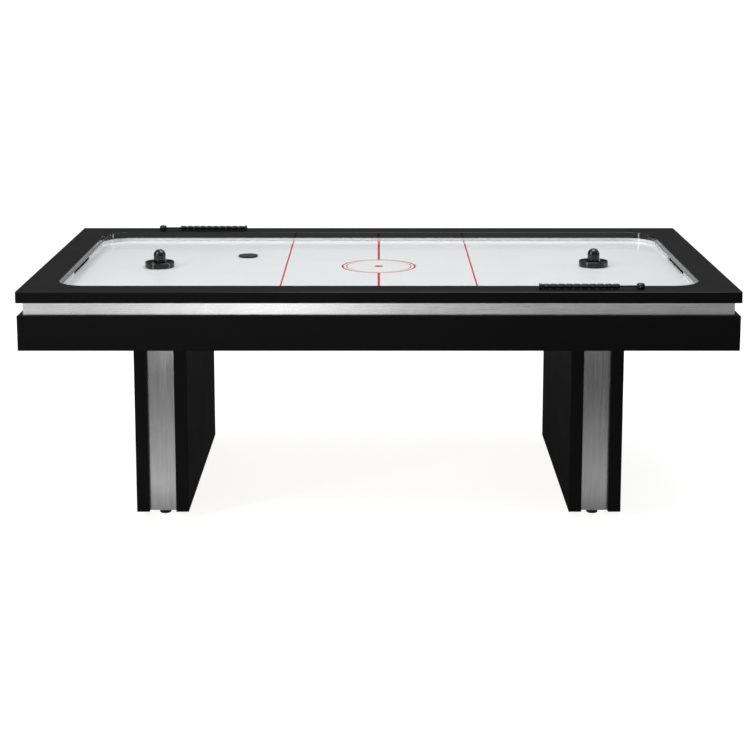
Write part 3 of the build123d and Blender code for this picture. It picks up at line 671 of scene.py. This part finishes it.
HOLE_PITCH = 0.025
HOLE_RADIUS = 0.0008
HOLE_DEPTH = 0.004
HOLE_SIDES = 8
HOLES_X = 39
HOLES_Y = 19


def playfield():
    """Build the board as a grid of cells, most of them round an air hole."""
    low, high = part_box("playfield")
    notch = HALF.x - STRIP_FACE
    lines_x = [HOLE_PITCH * i for i in range(-HOLES_X, HOLES_X + 1)]
    lines_y = [HOLE_PITCH * i for i in range(-HOLES_Y, HOLES_Y + 1)]
    xs = [low.x, -notch, *lines_x, notch, high.x]
    ys = [low.y, *lines_y, high.y]
    bm = bmesh.new()
    grid = {}

    def corner(x, y):
        """Give the grid's vertex at that place, made when it is first asked for."""
        key = (round(x, 5), round(y, 5))
        if key not in grid:
            grid[key] = bm.verts.new((x, y, high.z))
        return grid[key]

    for x0, x1 in zip(xs, xs[1:]):
        for y0, y1 in zip(ys, ys[1:]):
            middle_x, middle_y = (x0 + x1) / 2, (y0 + y1) / 2
            if abs(middle_x) > notch and abs(middle_y) < GOAL_HALF:
                continue
            corners = [corner(x1, y0), corner(x1, y1), corner(x0, y1), corner(x0, y0)]
            inside_x = abs(middle_x) < HOLE_PITCH * HOLES_X
            inside_y = abs(middle_y) < HOLE_PITCH * HOLES_Y
            if inside_x and inside_y:
                add_air_hole(bm, corners, (middle_x, middle_y, high.z))
            else:
                bm.faces.new(corners)
    close_board(bm, low.z, high.z)
    finish_mesh(
        "playfield_board",
        bm,
        PLAYFIELD,
        "table",
        "playfield",
        30,
        PAINTED,
    )


def add_air_hole(bm, corners, centre):
    """Fill one cell with four faces round an eight-sided hole, and line it."""
    top, floor = [], []
    for i in range(HOLE_SIDES):
        turn = math.radians(45 * i - 45)
        across = Vector((HOLE_RADIUS * math.cos(turn), HOLE_RADIUS * math.sin(turn), 0))
        top.append(bm.verts.new(Vector(centre) + across))
        floor.append(bm.verts.new(Vector(centre) + across - Vector((0, 0, HOLE_DEPTH))))
    for i in range(4):
        a, b, c = top[2 * i], top[2 * i + 1], top[(2 * i + 2) % HOLE_SIDES]
        bm.faces.new((corners[i], corners[(i + 1) % 4], c, b, a))
    for i in range(HOLE_SIDES):
        j = (i + 1) % HOLE_SIDES
        bm.faces.new((top[i], top[j], floor[j], floor[i]))
    bm.faces.new(floor)


def close_board(bm, low, high):
    """Give the board's top its walls and underside, in the second material."""
    rim = [
        edge
        for edge in bm.edges
        if edge.is_boundary and all(vert.co.z == high for vert in edge.verts)
    ]
    walls = bmesh.ops.extrude_edge_only(bm, edges=rim)["geom"]
    lowered = [v for v in walls if isinstance(v, bmesh.types.BMVert)]
    bmesh.ops.translate(bm, verts=lowered, vec=(0, 0, low - high))
    bottom = [e for e in bm.edges if e.is_boundary and e.verts[0].co.z < low + CLOSE]
    bmesh.ops.contextual_create(bm, geom=bottom)
    for face in bm.faces:
        if min(vert.co.z for vert in face.verts) < low + CLOSE:
            face.material_index = 1


# --- Mallets and puck -------------------------------------------------------


def mallet(name):
    """Build a mallet: a dished disc with a rim, and a domed knob."""
    low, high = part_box(f"{name}_mallet")
    radius, height, knob = 0.051, high.z - low.z, 0.021
    felt_seat, felt_depth = 0.046, 0.0015
    rim, floor = 0.020, 0.009
    neck = knob - 0.0012
    profile = [
        (0, felt_depth),
        (felt_seat, felt_depth),
        (felt_seat, 0),
        *arc((radius - 0.002, 0.002), 0.002, -90, 0, 4),
        *arc((radius - 0.0006, 0.0075), 0.0006, -30, 30, 3),
        *arc((radius - 0.003, rim - 0.003), 0.003, 0, 90, 6),
        *arc((0.0465, rim - 0.002), 0.002, 90, 190, 6),
        *arc((0.0385, floor + 0.0035), 0.0035, 0, -90, 6),
        *arc((knob + 0.0045, floor + 0.005), 0.005, -90, -175, 8),
        (neck, floor + 0.016),
        *arc((knob + 0.0006, floor + 0.0175), 0.0012, 220, 130, 3),
        *arc((0, height - knob), knob, 0, 90, 24),
    ]
    bm = bmesh.new()
    add_lathe(bm, profile, (*middle_of(low, high), low.z))
    body = f"{name}_mallet"
    finish_mesh(f"{name}_mallet_body", bm, GLOSS, body, body)


def puck():
    """Build the puck, with two grooves round its edge and one on its top."""
    low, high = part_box("puck")
    radius, height = (high.x - low.x) / 2, high.z - low.z
    ease, groove_depth = 0.0009, 0.0004
    profile = [(0, 0), (radius - ease, 0)]
    profile += arc((radius - ease, ease), ease, -90, 0, 4)
    for share in (0.35, 0.65):
        middle = height * share
        profile += [
            (radius, middle - groove_depth),
            (radius - groove_depth, middle),
            (radius, middle + groove_depth),
        ]
    profile += arc((radius - ease, height - ease), ease, 0, 90, 4)
    profile += [
        (radius - 0.006, height),
        (radius - 0.0065, height - groove_depth),
        (radius - 0.007, height - groove_depth),
        (radius - 0.0075, height),
        (0, height),
    ]
    bm = bmesh.new()
    add_lathe(bm, profile, (*middle_of(low, high), low.z))
    finish_mesh("puck_disc", bm, SATIN, "puck", "puck", 25)


# --- Score counters ---------------------------------------------------------

BEADS = 10
BEAD_GAP = 0.0004
BEAD_BORE = 0.00255
BEAD_NECK = 0.0060
POST_DEPTH = 0.010
POST_EASE = 0.0008


def scorer(name, side):
    """Build ten barrel beads, each with a waist groove, and their two posts."""
    node = f"{name}_scorer_beads"
    low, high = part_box(node)
    y, z = (low.y + high.y) / 2, (low.z + high.z) / 2
    radius = (high.z - low.z) / 2
    pitch = (high.x - low.x + BEAD_GAP) / BEADS
    length = pitch - BEAD_GAP
    half = [
        (BEAD_BORE, 0),
        (BEAD_NECK - 0.0006, 0),
        (BEAD_NECK, 0.0005),
        *swell(BEAD_NECK, radius, 0.0005, length * 0.34),
        (radius, length * 0.40),
        (radius - 0.0012, length * 0.46),
        (radius - 0.0016, length * 0.5),
    ]
    mirrored = [(r, length - x) for r, x in reversed(half[:-1])]
    bm = bmesh.new()
    for i in range(BEADS):
        add_lathe(bm, half + mirrored + [half[0]], (low.x + i * pitch, y, z), "X", 32)
    finish_mesh(f"{name}_beads", bm, GLOSS, node, node, 30)
    inner_post(name, -side, y, z)
    end_post(name, -side, y)


def swell(start, end, near, far, steps=5):
    """List points that swell from one radius to another along a bead."""
    points = []
    for i in range(1, steps + 1):
        share = i / steps
        rise = math.sin(share * math.pi / 2)
        points.append((start + (end - start) * rise, near + (far - near) * share))
    return points


def inner_post(name, x_side, y, z):
    """Build the arched post that stands nearer the table's middle."""
    node = f"{name}_scorer_posts"
    low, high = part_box(node)
    near = low.x if x_side > 0 else high.x
    width = high.z - z
    arch = [(y - width, RAIL_TOP), *arc((y, z), width, 180, 0, 20), (y + width, RAIL_TOP)]
    stations = (
        (0, POST_EASE),
        (POST_EASE, 0),
        (POST_DEPTH - POST_EASE, 0),
        (POST_DEPTH, POST_EASE),
    )
    rings = []
    for depth, inset in stations:
        x = near + x_side * depth
        shrink = 1 - inset / width
        ring = []
        for across, up in arch:
            drawn_in = y + (across - y) * shrink
            lowered = RAIL_TOP + (up - RAIL_TOP) * shrink
            ring.append((x, drawn_in, lowered))
        rings.append(ring)
    bm = bmesh.new()
    add_sections(bm, rings)
    finish_mesh(f"{name}_inner_post", bm, GLOSS, "table", node, 30)


def end_post(name, x_side, y):
    """Build the round post at the rod's outer end, with its domed cap."""
    node = f"{name}_scorer_posts"
    low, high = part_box(node)
    far = high.x if x_side > 0 else low.x
    radius, height, dome = 0.013, high.z - RAIL_TOP, 0.006
    profile = [
        (0, 0),
        (radius - 0.0012, 0),
        (radius - 0.0012, 0.0016),
        (radius, 0.0022),
        *arc((radius - dome, height - dome), dome, 0, 90, 10),
        (0.0032, height),
        (0.0028, height - 0.0008),
        (0, height - 0.0008),
    ]
    bm = bmesh.new()
    add_lathe(bm, profile, (far - x_side * radius, y, RAIL_TOP), segments=64)
    finish_mesh(f"{name}_end_post", bm, GLOSS, "table", node, 30)


# --- Levelling feet ---------------------------------------------------------

STEM_RADIUS = 0.004
THREAD_PITCH = 0.00125
THREAD_DEPTH = 0.0005
THREAD_START = 0.012
NUT_HALF = 0.0065
NUT_TOP = 0.0217
NUT_THICKNESS = 0.006
NUT_EASE = 0.0006


def leveller(name):
    """Build a levelling foot: ribbed pad, lock nut and a threaded stem."""
    low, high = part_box(name)
    middle = middle_of(low, high)
    pad = (high.x - low.x) / 2
    profile = [
        (0, 0),
        *arc((pad - 0.0015, 0.0015), 0.0015, -90, 0, 4),
        (pad, 0.0028),
        (pad - 0.0005, 0.0033),
        (pad, 0.0038),
        *arc((pad - 0.0025, 0.0055), 0.0025, 0, 60, 5),
        (pad - 0.006, 0.0090),
        (0.0085, 0.0105),
        (STEM_RADIUS, 0.0110),
        (STEM_RADIUS, THREAD_START),
    ]
    height = THREAD_START
    while height < high.z - 0.002:
        root = (STEM_RADIUS - THREAD_DEPTH, height + THREAD_PITCH / 2)
        profile += [root, (STEM_RADIUS, height + THREAD_PITCH)]
        height += THREAD_PITCH
    profile += [(STEM_RADIUS - 0.0008, high.z), (0, high.z)]
    bm = bmesh.new()
    add_lathe(bm, profile, (*middle, low.z), segments=64)
    finish_mesh(f"{name}_pad", bm, SATIN, name, name, 25)
    lock_nut(name, middle)


def lock_nut(name, middle):
    """Build the hexagonal nut round a levelling foot's stem."""
    stations = (
        (NUT_TOP - NUT_THICKNESS, 0.93),
        (NUT_TOP - NUT_THICKNESS + NUT_EASE, 1),
        (NUT_TOP - NUT_EASE, 1),
        (NUT_TOP, 0.93),
    )
    corner = NUT_HALF / math.cos(math.radians(30))
    rings = []
    for z, share in stations:
        rings.append([(*spot, z) for spot in arc(middle, corner * share, 0, 300, 5)])
    bm = bmesh.new()
    add_sections(bm, rings)
    finish_mesh(f"{name}_nut", bm, ZINC, name, name, 25)


for face_name, face in FACES.items():
    long_rail(face_name, face)
    scorer(face_name, face)
for side_name, side in SIDES.items():
    end_rail(side_name, side)
    mallet(side_name)
    for face_name in FACES:
        leveller(f"leveller_{face_name}_{side_name}")
corner_blocks()
rebound_strips()
playfield()
puck()


# --- Stage, light and camera ------------------------------------------------

WHITE = (1, 1, 1, 1)
NO_COLOUR = (0, 0, 0, 1)
FLOOR_REACH = 300
FLOOR_GLOW = 0.885
CARD_REACH = 40
CARD_DROP = -0.002
PAINTED_REFLECTION_GLOW = 0.62
BACKDROP_RADIUS = 60
BACKDROP_SIDES = 72
BACKDROP_FOOT = -0.5
BACKDROP_TOP = 60


def stage_piece(name, mesh, material):
    """Put a mesh on the stage, where it isn't part of the table."""
    mesh.materials.append(material)
    piece = bpy.data.objects.new(name, mesh)
    bpy.context.scene.collection.objects.link(piece)
    return piece


def stage_plane(name, reach, height, material):
    """Lay a square stage piece at a height, reaching equally far all round."""
    mesh = bpy.data.meshes.new(name)
    corners = [(-reach, -reach), (reach, -reach), (reach, reach), (-reach, reach)]
    mesh.from_pydata([(x, y, height) for x, y in corners], [], [(0, 1, 2, 3)])
    return stage_piece(name, mesh, material)


def hide_from(piece, *rays):
    """Hide a stage piece from some kinds of ray."""
    for ray in rays:
        setattr(piece, f"visible_{ray}", False)


def floor():
    """Lay the pale floor, which gloss doesn't mirror."""
    g = Graph("pale_floor")
    g.set(
        Base_Color=g.vary(g.noise(0.6, 3), grey(0.32), grey(0.34)),
        Roughness=0.8,
        Specular_IOR_Level=0.1,
        Emission_Color=WHITE,
        Emission_Strength=FLOOR_GLOW,
    )
    pale = stage_plane("floor", FLOOR_REACH, 0, g.material)
    hide_from(pale, "glossy")


def painted_reflection_card():
    """Lay the card that gloss mirrors instead of the floor.

    The card glows though it is no lamp, so all it gives is painted reflection.
    It is dark under the table, which is painted shade of the table, and bright
    round it. Far in front it has a narrow glowing peak, a painted highlight
    that gives the silver band its brightest place.
    """
    g = Graph("painted_reflection_glow")
    x, y = g.plan()
    aside = g.math("ABSOLUTE", x)
    right = g.remap(x, 1, 0.45, -1.3, 1.6)
    left = g.remap(x, 0.6, 1, -3.2, -1.5)
    # Dark under the table and bright beyond its front, back and ends: painted shade of the
    # table in the floor's reflection.
    front = g.remap(y, 0.08, 1, -0.3, -0.75)
    back = g.remap(y, 0.08, 1, 3.2, 4.4)
    ends = g.remap(aside, 0.08, 1, 1.2, 1.6)
    unshaded_floor = g.math("MAXIMUM", front, back, ends)
    shade = g.remap(y, 1.35, 0.22, -0.9, -2.2)
    spread = g.math("MULTIPLY", right, left, unshaded_floor, shade)
    # A narrow peak and a broad rise far in front: painted highlight for the silver band.
    from_peak = g.math("ABSOLUTE", g.math("ADD", x, 0.62))
    peak = g.remap(from_peak, 10.0, 0, 0, 0.5)
    broad = g.remap(x, 2.3, 0.7, -1.2, 1.8)
    far_front = g.remap(y, 0, 1, -3.5, -3.9)
    bright = g.math("MULTIPLY", g.math("ADD", peak, broad), far_front)
    # The card glows with no lamp behind it: its light is painted reflection.
    g.set(
        Base_Color=NO_COLOUR,
        Roughness=1.0,
        Specular_IOR_Level=0.0,
        Emission_Color=WHITE,
        Emission_Strength=g.math("MULTIPLY", g.math("ADD", spread, bright), PAINTED_REFLECTION_GLOW),
    )
    card = stage_plane("painted_reflection_card", CARD_REACH, CARD_DROP, g.material)
    hide_from(card, "camera", "diffuse", "shadow", "transmission")


def world():
    """Surround the studio with a dim grey that brightens towards the zenith."""
    studio = bpy.data.worlds.new("studio")
    studio.use_nodes = True
    tree = studio.node_tree
    place = tree.nodes.new("ShaderNodeTexCoord")
    axes = tree.nodes.new("ShaderNodeSeparateXYZ")
    tree.links.new(place.outputs["Generated"], axes.inputs[0])
    climb = tree.nodes.new("ShaderNodeMapRange")
    climb.inputs["From Min"].default_value = 0.2
    climb.inputs["From Max"].default_value = 0.9
    climb.inputs["To Min"].default_value = 0.15
    climb.inputs["To Max"].default_value = 0.7
    tree.links.new(axes.outputs["Z"], climb.inputs["Value"])
    background = tree.nodes["Background"]
    tree.links.new(climb.outputs["Result"], background.inputs["Strength"])
    background.inputs["Color"].default_value = WHITE
    bpy.context.scene.world = studio


def backdrop():
    """Stand a white cyclorama round the studio that only the camera sees."""
    g = Graph("white_backdrop")
    g.set(
        Base_Color=NO_COLOUR,
        Specular_IOR_Level=0.0,
        Emission_Color=WHITE,
        Emission_Strength=g.remap(g.noise(0.02), 1.0, 1.02),
    )
    bm = bmesh.new()
    ring = arc((0, 0), BACKDROP_RADIUS, 0, 360, BACKDROP_SIDES)[:-1]
    low = [bm.verts.new((x, y, BACKDROP_FOOT)) for x, y in ring]
    high = [bm.verts.new((x, y, BACKDROP_TOP)) for x, y in ring]
    for i in range(BACKDROP_SIDES):
        j = (i + 1) % BACKDROP_SIDES
        bm.faces.new((low[i], low[j], high[j], high[i]))
    mesh = bpy.data.meshes.new("backdrop")
    bm.to_mesh(mesh)
    bm.free()
    piece = stage_piece("backdrop", mesh, g.material)
    hide_from(piece, "diffuse", "glossy", "transmission", "shadow")


def softbox(name, place, target, width, height, power):
    """Hang a rectangular area light, in metres and watts, and aim it."""
    lamp = bpy.data.lights.new(name, "AREA")
    lamp.shape = "RECTANGLE"
    lamp.size = width
    lamp.size_y = height
    lamp.energy = power
    holder = bpy.data.objects.new(name, lamp)
    holder.location = place
    aim = Vector(target) - Vector(place)
    holder.rotation_euler = aim.to_track_quat("-Z", "Y").to_euler()
    holder.visible_camera = False
    bpy.context.scene.collection.objects.link(holder)


def camera(place, tilt_down, focal_length, shift_x, shift_y):
    """Set the camera in front of the table, tilted down by some degrees."""
    lens = bpy.data.cameras.new("camera")
    lens.sensor_width = 36
    lens.lens = focal_length
    lens.shift_x = shift_x
    lens.shift_y = shift_y
    holder = bpy.data.objects.new("camera", lens)
    holder.location = place
    holder.rotation_euler = (math.radians(90 - tilt_down), 0, 0)
    bpy.context.scene.collection.objects.link(holder)
    bpy.context.scene.camera = holder


PLAY_MIDDLE = (0, 0, 0.8)

floor()
painted_reflection_card()
world()
backdrop()
softbox("key", (-2.9, -1.6, 3.2), (-0.2, 0, 0.7), 1.4, 1.4, 62)
softbox("overhead", (0.5, 0.25, 3.5), (0, 0.1, 0.8), 2.2, 2.2, 80)
softbox("left_strip", (-4.6, -3.4, 1.8), PLAY_MIDDLE, 0.4, 2.2, 80)
softbox("right_strip", (5.9, -0.2, 1.76), PLAY_MIDDLE, 0.4, 0.7, 22)
camera((0, -5.794, 1.832), 9.07, 79.925, -0.0017, -0.20)
bpy.context.scene.view_settings.view_transform = "Standard"
